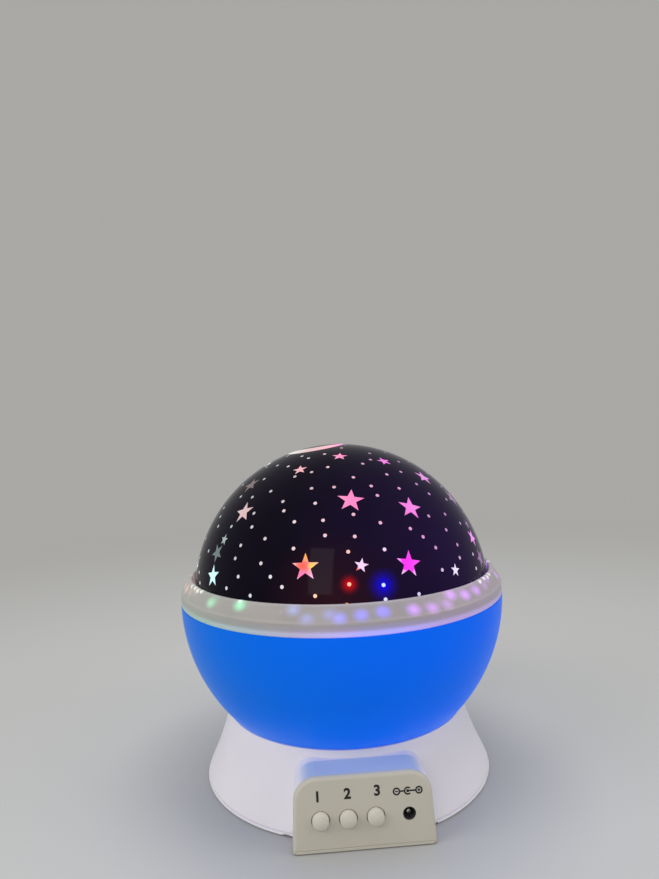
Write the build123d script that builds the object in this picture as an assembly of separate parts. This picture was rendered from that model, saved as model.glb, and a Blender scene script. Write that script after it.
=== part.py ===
from build123d import *
import math
import os

# Star night light projector. Millimetres, +Z up, origin on the floor under the ball's axis,
# the control pod toward -Y. The ball turns on a fixed lamp post that stands on the base's chassis.

# ---- driving sizes -------------------------------------------------------------------------

# ball
ball_radius = 65.0
bowl_wall = 2.0
bowl_floor = 2.0  # thickness of the flat bottom
bowl_edge_drop = 0.5  # the bowl stops this far below the ball's centre
skirt_depth = 1.3  # ring under the bowl that hides the gap to the deck
skirt_wall = 1.6

# star dome
dome_inset = 5.1  # the dome's skin lies this far inside the ball's surface
dome_wall = 1.6  # clear inner shell
mask_wall = 0.45  # black pierced skin over it
dome_seat = 1.5  # the dome's edge stands this far above the ball's centre

# stars in the skin: (azimuth from the front, elevation, tip radius, tilt), degrees and mm
star_panel = [
    (2, 43, 5.0, 10),
    (29, 38, 4.8, 20),
    (-16, 20, 4.8, -2),
    (20, 19, 4.7, 12),
    (-51, 38, 4.6, -16),
    (57, 50, 4.2, -34),
    (-57, 14, 4.2, -11),
    (62, 22, 3.8, 36),
    (-30, 59, 3.0, -20),
    (0, 68, 3.2, 8),
    (37, 62, 3.1, 6),
    (3, 20, 2.5, 14),
    (40, 14, 2.4, 14),
    (-56, 27, 2.3, 0),
]
panels = 3  # the star panel repeats this many times round the dome
star_waist = 0.40  # inner corner radius of a star over its tip radius
dot_radius = 0.66
dot_sides = 4  # the pin holes are this small, so they have few sides
dot_count = 300  # spiral places tried over the whole dome, before those near a star drop out
dot_clearance = 0.9  # least distance from a star's tip circle to a dot's centre
dot_low = 5.2  # elevation of the lowest dots
dot_shake = (2.2, 3.0)  # how far a dot strays from the spiral, up and round
moon_radius = 12.0
moon_bite_radius = 10.4
moon_bite_shift = 5.2
moon_place = (-82, 82)  # azimuth from the front and elevation of the crescent's centre
moon_turn = 16  # way the crescent opens, from +Y toward +X

# collar ring
collar_band_height = 4.6  # lower band, as wide as the ball
collar_height = 9.7
collar_top_inset = 3.1  # the collar's top lies this far inside the ball's widest circle
collar_lean = 0.3  # the lower band leans in by this much
collar_step = 0.5  # step in above the lower band
collar_ledge = 2.2  # width of the ledge under the dome
collar_spigot_depth = 3.6
collar_spigot_wall = 2.0
collar_web = 0.6  # the ledge's underside meets the spigot this far below the bowl's edge
collar_round = 0.6

# base
base_margin = 10.07  # from the battery bay's rear corners out to the foot's edge
base_bevel = 0.8  # the foot's edge leans in by this much
base_bevel_height = 2.0
base_rim_radius = 47.6  # also the radius of the bowl's flat foot, right above the rim
base_hollow = 0.7  # the cone's side bows in by this much
base_wall = 2.0
base_rim_wall = 1.6
deck_drop = 1.6  # the deck lies this far below the rim
deck_thickness = 2.0
foot_proud = 0.4
foot_radius = 4.5
foot_recess = 1.0
foot_inset = 7.8  # of the pads' centres from the foot's edge
foot_angles = (45, 135, 225, 315)
plate_thickness = 2.2
plate_edge = 0.9  # height of the plate's edge that shows under the housing's wall
seam = 0.1  # open line between the base plate and the housing

# control pod
pod_front = 61.5  # distance of the face's foot from the axis
pod_lean = 5.0  # the face leans back by this angle
pod_half_width = 23.6
pod_side_lean = 1.1  # each side leans in by this much over the pod's height
pod_drop = 2.3  # the pod's top lies this far below the base's rim
pod_corner = 7.6
pod_edge_round = 1.4
pod_wall = 2.0
pod_back = 30.0  # the pod's block reaches this far from the axis, inside the cone

# controls
button_radius = 2.75
button_pitch = 9.0
button_first = -14.2
button_height = 10.25  # up the leaning face
button_proud = 1.6
button_chamfer = 0.5
button_travel = 0.5
button_flange_radius = 3.9
button_flange = 0.8
button_stem_radius = 1.8
button_stem = 2.5
plunger_radius = 1.7
plunger_proud = 0.9
plunger_length = 2.0
switch_size = 6.0
switch_depth = 3.5
jack_place = 14.8
jack_height = 10.35  # up the leaning face
jack_nose_radius = 2.1
jack_nose_recess = 0.25  # the nose ends this far inside the pod's face
jack_body = (7.0, 7.0)
jack_bore_radius = 1.75
jack_wall = 0.9  # closed end behind the bore
jack_pin_radius = 0.65
jack_pin_back = 1.2  # the pin's tip lies this far inside the nose
board_margin = 2.0  # from the board's ends to the pod's side walls
board_low = 4.2
board_headroom = 3.2  # from the board's top edge to the pod's roof
board_thickness = 1.6
board_post_radius = 2.0
board_post_inset = (2.1, 1.8)  # of a post's axis from the board's end and top edge
board_screw_bite = 4.0

# batteries
cell_radius = 5.25
cell_length = 43.7
cell_nub_radius = 1.9
cell_nub_length = 0.8
cell_gap = 0.2  # between neighbours
cell_count = 4
bay_middle = 14.8  # the bay's middle lies this far behind the axis
bay_wall = 1.4
contact_thickness = 0.4
contact_width = 7.0
leaf_space = 4.95  # length that the bent leaf takes up
leaf_knee = (0.55, 0.7)  # bend of the leaf, as shares of its reach and of its half width
leaf_tail = (0.45, -0.6)

# battery door
door_thickness = 1.6
door_skin = 0.8  # the part of it between the lips
door_lip = 1.1  # the lips under the door's edges reach in by this much
door_block = 4.0  # thicker stretch that closes the slot at the rear
groove_count = 5
groove_pitch = 2.4
groove_width = 1.2
groove_depth = 0.4
groove_half_length = 7.0
groove_start = 8.0  # from the bay's rear end

# drive
chassis_gap = 0.4  # above the battery bay
chassis_thickness = 1.5
chassis_margin = 1.5  # of the plate round a screw boss
chassis_hub_margin = 4.0  # of the plate round the post's flange
gear_headroom = 1.65  # between the drive gear and the deck
gear_module = 1.0
gear_teeth = 44
pinion_teeth = 16
pressure_angle = 20.0
gear_root = 1.25  # tooth depth below the pitch circle, in modules
gear_tip = 0.95
flank_points = 4
tooth_thinning = 0.04  # taken off each side of a tooth
backlash = 0.16  # extra centre distance
gear_thickness = 3.0
pinion_thickness = 3.6
pinion_angle = 242.0
hub_radius = 12.0
hub_spigot_radius = 6.7
hub_screw_inset = 2.5  # of the screws from the hub's edge
hub_screw_bite = 5.0
hub_screw_angles = (90, 210, 330)
washer_thickness = 0.5
post_radius = 5.0
post_wall = 1.5
post_flange_radius = 8.6
post_flange = 0.6
motor_radius = 12.0
motor_length = 10.0
motor_chamfer = 1.0
motor_ear = 1.2
motor_ear_radius = 2.6
motor_ear_out = 4.5  # the ear's screw lies this far outside the can
shaft_radius = 1.5
shaft_depth = 4.0  # the shaft goes down into the motor this far below the chassis
shaft_hole_gap = 1.0  # round the shaft in the chassis

# lamp
lamp_drop = 7.1  # the post's top lies this far below the ball's centre
holder_radius = 14.4
holder_floor = 1.6
holder_rim = 1.3
holder_sleeve = 6.0
holder_sleeve_wall = 1.6
lamp_board_thickness = 1.6
led_radius = 2.5
led_flange_radius = 2.9
led_flange = 1.0
led_length = 8.6
led_circle = 7.0
wire_radius = 0.55
wire_count = 5
wire_circle = 2.0

# screws
screw_radius = 1.3
screw_head_radius = 2.6
screw_head = 1.3
small_screw_radius = 0.9
small_head_radius = 1.8
small_head = 0.9
boss_wall = 1.9
base_screw_inset = 12.3  # from the foot's edge
base_screw_angles = (20, 160, 205, 335)
base_screw_bite = 8.0
base_screw_recess = 0.2  # the heads lie this far inside the plate
screw_end_gap = 1.0  # below a screw's end in its hole
chassis_screws_at = ((33.0, 2.0), (-33.0, 2.0), (9.0, -41.0))

# clearances
seat_gap = 0.05  # between pieces that are seated on each other
slide_gap = 0.3  # round a piece that slides or is pushed
turn_gap = 0.06  # a shaft in its bore
ball_gap = 0.5  # bowl above the base's rim

# drawing aids
past = 1.0  # cutters run past a surface by this much
into = 0.5  # solids that are joined run into each other by this much
far = 99.0  # outside the base on every side

# ---- sizes that follow ---------------------------------------------------------------------

plate_bottom = foot_proud
plate_top = plate_bottom + plate_thickness
edge_top = plate_bottom + plate_edge

cell_pitch = 2 * cell_radius + cell_gap
door_top = plate_bottom + door_thickness
door_half = cell_pitch * cell_count / 2 + slide_gap
cell_axis = door_top + slide_gap + cell_radius
bay_half = door_half
bay_length = cell_length + cell_nub_length + contact_thickness + leaf_space + 3 * seat_gap
bay_front = bay_middle - bay_length / 2
bay_rear = bay_middle + bay_length / 2
bay_roof = cell_axis + cell_radius + slide_gap
base_foot_radius = math.hypot(bay_half + bay_wall, bay_rear + bay_wall) + base_margin
foot_circle = base_foot_radius - foot_inset
base_screw_circle = base_foot_radius - base_screw_inset
chassis_bottom = bay_roof + bay_wall + chassis_gap
chassis_top = chassis_bottom + chassis_thickness

washer_bottom = chassis_top + post_flange
gear_bottom = washer_bottom + washer_thickness + seat_gap
gear_top = gear_bottom + gear_thickness
centre_distance = gear_module * (gear_teeth + pinion_teeth) / 2 + backlash
pinion_x = centre_distance * math.cos(math.radians(pinion_angle))
pinion_y = centre_distance * math.sin(math.radians(pinion_angle))
pinion_overhang = (pinion_thickness - gear_thickness) / 2
hub_screw_circle = hub_radius - hub_screw_inset
motor_ear_reach = motor_radius + motor_ear_out

deck_bottom = gear_top + gear_headroom
deck_top = deck_bottom + deck_thickness
base_height = deck_top + deck_drop
bowl_bottom = base_height + ball_gap
ball_height = bowl_bottom + math.sqrt(ball_radius**2 - base_rim_radius**2)  # the ball's centre
bowl_inner_radius = ball_radius - bowl_wall
bowl_edge = ball_height - bowl_edge_drop
skirt_radius = base_rim_radius - base_rim_wall - slide_gap

pod_height = base_height - pod_drop
pod_inner = pod_front - pod_wall
pod_roof = pod_height - pod_wall
board_half = pod_half_width - pod_wall - board_margin
board_high = pod_roof - board_headroom
board_post_x = board_half - board_post_inset[0]
board_post_z = board_high - board_post_inset[1]
button_flange_front = pod_inner - seat_gap
button_back = button_flange_front - button_flange
plunger_front = button_back - button_stem
switch_front = plunger_front - plunger_proud
board_front = switch_front - switch_depth
board_back = board_front - board_thickness
jack_front = pod_front - jack_nose_recess
jack_floor = board_front + jack_wall

post_top = ball_height - lamp_drop
lamp_board_bottom = post_top + holder_floor
lamp_board_top = lamp_board_bottom + lamp_board_thickness
lamp_board_radius = holder_radius - holder_rim - slide_gap

dome_radius = ball_radius - dome_inset
dome_bottom = ball_height + dome_seat
collar_bottom = bowl_edge + seat_gap
collar_top = collar_bottom + collar_height
collar_top_radius = ball_radius - collar_top_inset


# ---- helpers -------------------------------------------------------------------------------


def disc(radius, bottom, top, x=0.0, y=0.0):
    """Upright cylinder from one height to another."""
    upright = Cylinder(radius, top - bottom, align=(Align.CENTER, Align.CENTER, Align.MIN))
    return Pos(x, y, bottom) * upright


def tube(outer, inner, bottom, top, x=0.0, y=0.0):
    """Upright pipe from one height to another."""
    return disc(outer, bottom, top, x, y) - disc(inner, bottom - past, top + past, x, y)


def block(x0, x1, y0, y1, z0, z1):
    """Box between two corners."""
    return Pos((x0 + x1) / 2, (y0 + y1) / 2, (z0 + z1) / 2) * Box(x1 - x0, y1 - y0, z1 - z0)


def rod_y(radius, front, back, x, z):
    """Cylinder along +Y between two distances from the axis, front being the larger toward -Y."""
    rod = Cylinder(radius, front - back, align=(Align.CENTER, Align.CENTER, Align.MIN))
    return Pos(x, -front, z) * Rot(-90, 0, 0) * rod


def turned(*edges):
    """Solid turned about the ball's axis from a closed outline in (radius, height)."""
    return revolve(Plane.XZ * make_face(edges), Axis.Z)


def polar(radius, angle):
    """Point in plan at a radius and an angle from +X."""
    return radius * math.cos(math.radians(angle)), radius * math.sin(math.radians(angle))


def leaned(shape):
    """Turn a piece drawn behind an upright face about the face's foot, by the pod's lean."""
    return Pos(0, -pod_front, 0) * Rot(-pod_lean, 0, 0) * Pos(0, pod_front, 0) * shape


def sphere_radius_at(radius, height):
    """Radius of the ball's concentric sphere at a height above the floor."""
    return math.sqrt(radius**2 - (height - ball_height) ** 2)


def save(node, shape):
    """Write one node's solids."""
    solids = shape.solids() if hasattr(shape, "solids") else shape
    export_step(Compound(children=list(solids)), f"parts/{node}.step")


# ---- base ----------------------------------------------------------------------------------


def cone_side(inset):
    """Bowed-in side of the base cone, moved in by a wall."""
    low = (base_foot_radius - base_bevel - inset, plate_bottom + base_bevel_height)
    high = (base_rim_radius - inset, base_height)
    middle = ((low[0] + high[0]) / 2 - base_hollow, (low[1] + high[1]) / 2)
    return low, high, ThreePointArc(low, middle, high)


def cone_form():
    """The cone as one solid, foot edge to rim."""
    low, high, side = cone_side(0)
    foot = (base_foot_radius, plate_bottom)
    return turned(
        Polyline((0, base_height), (0, plate_bottom), foot, low),
        side,
        Line(high, (0, base_height)),
    )


def cone_hollow(inset):
    """The space inside the cone's wall, up to the deck."""
    low, high, side = cone_side(inset)
    below = (low[0] + base_bevel, plate_bottom - past)
    space = turned(
        Polyline((0, high[1]), (0, below[1]), below, low),
        side,
        Line(high, (0, high[1])),
    )
    return space & disc(base_foot_radius, below[1], deck_bottom)


def pod_outline(inset, top):
    """Front outline of the pod, moved in by a wall: leaning sides and round upper corners."""
    lean = pod_side_lean / pod_height
    low = pod_half_width + lean * plate_bottom - inset
    high = pod_half_width - lean * top - inset
    outline = Polygon((-low, 0), (low, 0), (high, top), (-high, top), align=None)
    return fillet(outline.vertices().group_by(Axis.Y)[-1], pod_corner - inset)


def pod_block(inset, top, front):
    """The pod's outline run back into the cone, behind a leaning front."""
    face = Plane.XZ.offset(front) * pod_outline(inset, top)
    form = extrude(face, -(front - pod_back)) & block(-far, far, -far, 0, plate_bottom, base_height)
    return form - leaned(block(-far, far, -far, -front, -far, far))


def base_form():
    """Outside of the base: cone and pod in one."""
    pod = pod_block(0, pod_height, pod_front)
    face = pod.faces().sort_by(Axis.Y)[0]
    edges = face.edges().filter_by(lambda e: e.center().Z > plate_bottom + past)
    return cone_form() + fillet(edges, pod_edge_round)


def base_inside(gap):
    """The space inside the base's walls, less a gap all round."""
    return cone_hollow(base_wall + gap) + pod_block(pod_wall + gap, pod_roof, pod_inner - gap)


def base_housing():
    """Upper shell of the base: cone, deck, pod, screw bosses and the holes for the controls."""
    form = base_form()
    shell = form & block(-far, far, -far, far, edge_top + seam, base_height)
    shell -= base_inside(0)
    shell -= block(-door_half, door_half, bay_rear, far, plate_bottom, plate_top + seam)
    shell -= disc(base_rim_radius - base_rim_wall, deck_top, base_height + past)
    shell -= disc(hub_radius + slide_gap, deck_bottom - past, deck_top + past)
    for angle in base_screw_angles:
        x, y = polar(base_screw_circle, angle)
        boss = disc(screw_radius + boss_wall, plate_top + seam, deck_bottom + into, x, y)
        shell += boss & form
        shell -= disc(screw_radius, plate_top, plate_top + base_screw_bite, x, y)
    for x, y in chassis_screws_at:
        shell += disc(small_screw_radius + boss_wall, chassis_top, deck_bottom + into, x, y)
        shell -= disc(small_screw_radius, chassis_top - past, deck_bottom - seam, x, y)
    for side in (-1, 1):
        x = side * board_post_x
        shell += leaned(rod_y(board_post_radius, pod_inner + into, board_front, x, board_post_z))
        shell -= leaned(rod_y(small_screw_radius, pod_inner - seam, board_front - past, x, board_post_z))
    hole = button_radius + slide_gap
    for x in button_places():
        shell -= leaned(rod_y(hole, pod_front + past, pod_inner - past, x, button_height))
    nose = jack_nose_radius + seat_gap
    return shell - leaned(rod_y(nose, pod_front + past, pod_inner - past, jack_place, jack_height))


def door_slot(clearance):
    """Stepped slot for the battery door, open at the rear: narrow between its lips, wide over them."""
    narrow = door_half - door_lip - slide_gap + clearance
    wide = door_half - slide_gap + clearance
    front = bay_front - clearance + slide_gap
    lips = plate_bottom + door_skin
    return (
        block(-narrow, narrow, front, far, plate_bottom - past, lips + seam),
        block(-wide, wide, front, far, lips, plate_top + past),
    )


def base_plate():
    """Bottom cover, stepped so that the housing's wall laps over its edge, and the battery bay on it."""
    plate = base_form() & block(-far, far, -far, far, plate_bottom, edge_top)
    plate += base_inside(seam) & block(-far, far, -far, far, plate_bottom, plate_top)
    for slot in door_slot(slide_gap):
        plate -= slot
    outside = block(
        -bay_half - bay_wall,
        bay_half + bay_wall,
        bay_front - bay_wall,
        bay_rear + bay_wall,
        plate_top - into,
        bay_roof + bay_wall,
    )
    inside = block(-bay_half, bay_half, bay_front, bay_rear, plate_top - past, bay_roof)
    plate += outside - inside
    plate -= block(-bay_half, bay_half, bay_front, far, plate_top - past, plate_top)
    for angle in base_screw_angles:
        x, y = polar(base_screw_circle, angle)
        plate -= disc(screw_radius + seat_gap, 0, plate_top + past, x, y)
        plate -= disc(screw_head_radius + seat_gap, 0, plate_bottom + screw_head, x, y)
    for x, y in foot_places():
        plate -= disc(foot_radius, 0, plate_bottom + foot_recess, x, y)
    return plate


def battery_door():
    """Sliding door: flanged plate, thumb grooves and a thicker rear end flush with the foot's edge."""
    skin, flange = door_slot(0)
    lips = plate_bottom + door_skin
    door = skin & block(-far, far, -far, far, plate_bottom, lips + seat_gap)
    door += flange & block(-far, far, -far, far, lips + seat_gap, door_top)
    half = bay_half - door_lip
    door += block(-half, half, bay_rear + bay_wall + door_block, far, lips, plate_top - seam)
    door &= base_form()
    for step in range(groove_count):
        y = bay_rear - groove_start + groove_pitch * step
        low, high = plate_bottom - past, plate_bottom + groove_depth
        door -= block(-groove_half_length, groove_half_length, y, y + groove_width, low, high)
    return door


def foot_places():
    return [polar(foot_circle, angle) for angle in foot_angles]


def foot_pads():
    """Four rubber pads in the plate's recesses."""
    top = plate_bottom + foot_recess
    return Compound(children=[disc(foot_radius - seat_gap, 0, top, x, y) for x, y in foot_places()])


def base_screws():
    """Screws up through the plate into the housing's bosses."""
    screws = []
    for angle in base_screw_angles:
        x, y = polar(base_screw_circle, angle)
        seat = plate_bottom + screw_head
        head = disc(screw_head_radius, plate_bottom + base_screw_recess, seat, x, y)
        end = plate_top + base_screw_bite - screw_end_gap
        screws.append(head + disc(screw_radius - seat_gap, seat, end, x, y))
    return Compound(children=screws)


# ---- controls ------------------------------------------------------------------------------


def button_places():
    return [button_first + button_pitch * i for i in range(3)]


def button(x):
    """Push button: chamfered cap, flange behind the wall and a stem to the switch."""
    front = pod_front + button_proud
    cap = rod_y(button_radius, front, button_back, x, button_height)
    cap = chamfer(cap.edges().sort_by(Axis.Y)[0], button_chamfer)
    flange = rod_y(button_flange_radius, button_flange_front, button_back, x, button_height)
    stem = rod_y(button_stem_radius, button_back, plunger_front, x, button_height)
    return leaned(cap + flange + stem)


def plunger(x):
    """Switch plunger that the button rests on."""
    return leaned(rod_y(plunger_radius, plunger_front, plunger_front - plunger_length, x, button_height))


def tact_switches():
    """Three switch housings on the board, each bored for its plunger."""
    housings = []
    half = switch_size / 2
    for x in button_places():
        low = button_height - half
        housing = block(x - half, x + half, -switch_front, -board_front, low, low + switch_size)
        depth = plunger_front - plunger_length - button_travel - slide_gap
        housing -= rod_y(plunger_radius + turn_gap, switch_front + past, depth, x, button_height)
        housings.append(leaned(housing))
    return Compound(children=housings)


def control_board():
    """Board behind the pod's face that carries the switches and the socket."""
    board = block(-board_half, board_half, -board_front, -board_back, board_low, board_high)
    hole = small_screw_radius + seat_gap
    for side in (-1, 1):
        board -= rod_y(hole, board_front + past, board_back - past, side * board_post_x, board_post_z)
    return leaned(board)


def board_screws():
    """Two screws through the board into the posts behind the face."""
    screws = []
    for side in (-1, 1):
        x = side * board_post_x
        head = rod_y(small_head_radius, board_back, board_back - small_head, x, board_post_z)
        end = board_front + board_screw_bite
        shank = rod_y(small_screw_radius - seat_gap, end, board_back, x, board_post_z)
        screws.append(leaned(head + shank))
    return Compound(children=screws)


def dc_jack():
    """Power socket: square body on the board with a round nose in the pod's wall."""
    width, height = jack_body
    body = block(
        jack_place - width / 2,
        jack_place + width / 2,
        -pod_inner + seat_gap,
        -board_front,
        jack_height - height / 2,
        jack_height + height / 2,
    )
    body += rod_y(jack_nose_radius, jack_front, pod_inner - past, jack_place, jack_height)
    return leaned(body - rod_y(jack_bore_radius, jack_front + past, jack_floor, jack_place, jack_height))


def dc_pin():
    """Centre pin of the socket."""
    return leaned(rod_y(jack_pin_radius, jack_front - jack_pin_back, jack_floor, jack_place, jack_height))


# ---- batteries -----------------------------------------------------------------------------


def cell_places():
    """Place across the bay of each cell, and the way its nub points."""
    first = -cell_pitch * (cell_count - 1) / 2
    return [(first + cell_pitch * i, 1 if i % 2 else -1) for i in range(cell_count)]


def aaa_cells():
    """Cells side by side, turned end for end in turn. The nub meets the flat contact."""
    cells = []
    for x, way in cell_places():
        nub_wall = bay_rear if way > 0 else bay_front
        nub_end = nub_wall - way * (contact_thickness + seat_gap)
        shoulder = nub_end - way * cell_nub_length
        tail = shoulder - way * cell_length
        can = rod_y(cell_radius, -min(shoulder, tail), -max(shoulder, tail), x, cell_axis)
        nub = rod_y(cell_nub_radius, -min(nub_end, shoulder), -max(nub_end, shoulder), x, cell_axis)
        cells.append(can + nub)
    return Compound(children=cells)


def cell_contacts():
    """A flat contact at each nub and a bent leaf at each flat end."""
    contacts = []
    half = contact_width / 2
    for x, way in cell_places():
        nub_wall = bay_rear if way > 0 else bay_front
        flat = (nub_wall - way * contact_thickness, nub_wall)
        contacts.append(block(x - half, x + half, min(flat), max(flat), cell_axis - half, cell_axis + half))
        leaf_wall = bay_front if way > 0 else bay_rear
        start = leaf_wall + way * contact_thickness / 2
        reach = way * (leaf_space - contact_thickness)
        path = Polyline(
            (start, cell_axis - half),
            (start, cell_axis + half),
            (start + leaf_knee[0] * reach, cell_axis + leaf_knee[1] * half),
            (start + reach, cell_axis),
            (start + leaf_tail[0] * reach, cell_axis + leaf_tail[1] * half),
        )
        leaf = Plane.YZ.offset(x - half) * trace(path, contact_thickness)
        contacts.append(extrude(leaf, contact_width))
    return Compound(children=contacts)


# ---- drive ---------------------------------------------------------------------------------


def involute(angle):
    return math.tan(angle) - angle


def spur_gear(teeth, thickness, turn):
    """Involute spur gear; turn places the middle of the first tooth."""
    pitch = gear_module * teeth / 2
    base = pitch * math.cos(math.radians(pressure_angle))
    root = pitch - gear_root * gear_module
    tip = pitch + gear_tip * gear_module
    lowest = max(base, root)
    radii = [lowest + (tip - lowest) * step / (flank_points - 1) for step in range(flank_points)]
    half_at_base = math.pi / 2 / teeth + involute(math.radians(pressure_angle)) - tooth_thinning / pitch
    flank = [(radius, half_at_base - involute(math.acos(base / radius))) for radius in radii]
    if root < base:
        flank.insert(0, (root, half_at_base))
    points = []
    for i in range(teeth):
        middle = turn + 360 * i / teeth
        points += [polar(radius, middle - math.degrees(half)) for radius, half in flank]
        points += [polar(radius, middle + math.degrees(half)) for radius, half in reversed(flank)]
    return extrude(make_face(Polyline(*points, close=True)), thickness)


def drive_gear():
    """Gear turned by the pinion; its hub passes the deck and carries the ball."""
    gear = Pos(0, 0, gear_bottom) * spur_gear(gear_teeth, gear_thickness, 0)
    gear += disc(hub_radius, gear_bottom, bowl_bottom)
    gear += disc(hub_spigot_radius, bowl_bottom - into, bowl_bottom + bowl_floor)
    gear -= disc(post_radius + turn_gap, gear_bottom - past, bowl_bottom + bowl_floor + past)
    for angle in hub_screw_angles:
        x, y = polar(hub_screw_circle, angle)
        hole_end = bowl_bottom - hub_screw_bite - screw_end_gap
        gear -= disc(small_screw_radius, hole_end, bowl_bottom + past, x, y)
    return gear


def hub_screws():
    """Three screws down through the bowl's floor into the gear's hub."""
    screws = []
    top = bowl_bottom + bowl_floor
    for angle in hub_screw_angles:
        x, y = polar(hub_screw_circle, angle)
        head = disc(small_head_radius, top, top + small_head, x, y)
        shank = disc(small_screw_radius - seat_gap, bowl_bottom - hub_screw_bite, top, x, y)
        screws.append(head + shank)
    return Compound(children=screws)


def motor_pinion():
    """Pinion pressed on the motor's shaft, a tooth gap turned to the drive gear."""
    facing = pinion_angle + 180
    gap_turn = facing + 180 / pinion_teeth
    gear_phase = (pinion_angle * gear_teeth / 360) % 1 * 360 / pinion_teeth
    pinion = spur_gear(pinion_teeth, pinion_thickness, gap_turn + gear_phase)
    bottom = gear_bottom - pinion_overhang
    pinion = Pos(pinion_x, pinion_y, bottom) * pinion
    return pinion - disc(shaft_radius, bottom - past, gear_top + pinion_overhang + past, pinion_x, pinion_y)


def motor_shaft():
    """Shaft up out of the motor to the pinion's top."""
    top = gear_top + pinion_overhang
    return disc(shaft_radius, chassis_bottom - shaft_depth, top, pinion_x, pinion_y)


def motor_can():
    """Geared motor under the chassis, with two ears."""
    can = disc(motor_radius, chassis_bottom - motor_length, chassis_bottom, pinion_x, pinion_y)
    can = chamfer(can.edges().sort_by(Axis.Z)[0], motor_chamfer)
    ears = SlotCenterToCenter(2 * motor_ear_reach, 2 * motor_ear_radius)
    can += extrude(Pos(pinion_x, pinion_y, chassis_bottom) * ears, -motor_ear)
    for side in (-1, 1):
        x = pinion_x + side * motor_ear_reach
        hole = small_screw_radius + seat_gap
        can -= disc(hole, chassis_bottom - motor_ear - past, chassis_bottom + past, x, pinion_y)
    floor = chassis_bottom - shaft_depth - seat_gap
    return can - disc(shaft_radius + turn_gap, floor, chassis_bottom + past, pinion_x, pinion_y)


def motor_screws():
    """Screws up through the motor's ears into the chassis."""
    screws = []
    seat = chassis_bottom - motor_ear
    for side in (-1, 1):
        x = pinion_x + side * motor_ear_reach
        head = disc(small_head_radius, seat - small_head, seat, x, pinion_y)
        screws.append(head + disc(small_screw_radius - seat_gap, seat, chassis_top, x, pinion_y))
    return Compound(children=screws)


def chassis_plate():
    """Plate under the deck that carries the lamp post and the motor."""
    arms = [Pos(x, y) * Circle(small_screw_radius + boss_wall + chassis_margin) for x, y in chassis_screws_at]
    arms += [Pos(pinion_x, pinion_y) * Circle(motor_radius), Circle(post_flange_radius + chassis_hub_margin)]
    outline = make_hull([edge for arm in arms for edge in arm.edges()])
    plate = extrude(Pos(0, 0, chassis_bottom) * outline, chassis_thickness)
    holes = [(post_radius, 0, 0), (shaft_radius + shaft_hole_gap, pinion_x, pinion_y)]
    holes += [(small_screw_radius + seat_gap, x, y) for x, y in chassis_screws_at]
    holes += [(small_screw_radius, pinion_x + side * motor_ear_reach, pinion_y) for side in (-1, 1)]
    for radius, x, y in holes:
        plate -= disc(radius, chassis_bottom - past, chassis_top + past, x, y)
    return plate


def chassis_screws():
    """Screws up through the chassis into the deck's bosses."""
    screws = []
    for x, y in chassis_screws_at:
        head = disc(small_head_radius, chassis_bottom - small_head, chassis_bottom, x, y)
        end = deck_bottom - screw_end_gap
        screws.append(head + disc(small_screw_radius - seat_gap, chassis_bottom, end, x, y))
    return Compound(children=screws)


def lamp_post():
    """Hollow post in the chassis that holds the lamp still inside the turning ball."""
    post = disc(post_radius, chassis_bottom, post_top)
    post += disc(post_flange_radius, chassis_top, washer_bottom)
    return post - disc(post_radius - post_wall, chassis_bottom - past, post_top + past)


def thrust_washer():
    """Low-friction washer between the post's flange and the drive gear."""
    return tube(post_flange_radius, post_radius + turn_gap, washer_bottom, washer_bottom + washer_thickness)


# ---- lamp ----------------------------------------------------------------------------------


def lamp_holder():
    """Tray on top of the post that carries the lamp board."""
    inner = post_radius - post_wall
    tray = disc(holder_radius, post_top, lamp_board_bottom)
    tray += tube(holder_radius, holder_radius - holder_rim, post_top, lamp_board_top)
    bore = post_radius + seat_gap
    sleeve = disc(bore + holder_sleeve_wall, post_top - holder_sleeve, lamp_board_bottom)
    tray += sleeve - disc(bore, post_top - holder_sleeve - past, post_top)
    return tray - disc(inner, post_top - past, lamp_board_top)


def lamp_board():
    """Round board with the four lamps."""
    return disc(lamp_board_radius, lamp_board_bottom, lamp_board_top)


def led(angle):
    """Five-millimetre lamp: flange, body and round tip."""
    x, y = polar(led_circle, angle)
    body = disc(led_radius, lamp_board_top, lamp_board_top + led_length - led_radius, x, y)
    body += disc(led_flange_radius, lamp_board_top, lamp_board_top + led_flange, x, y)
    return body + Pos(x, y, lamp_board_top + led_length - led_radius) * Sphere(led_radius)


def lamp_wires():
    """Wires up inside the post."""
    wires = []
    for i in range(wire_count):
        x, y = polar(wire_circle, 360 * i / wire_count)
        wires.append(disc(wire_radius, chassis_bottom, lamp_board_bottom, x, y))
    return Compound(children=wires)


# ---- ball ----------------------------------------------------------------------------------


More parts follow.
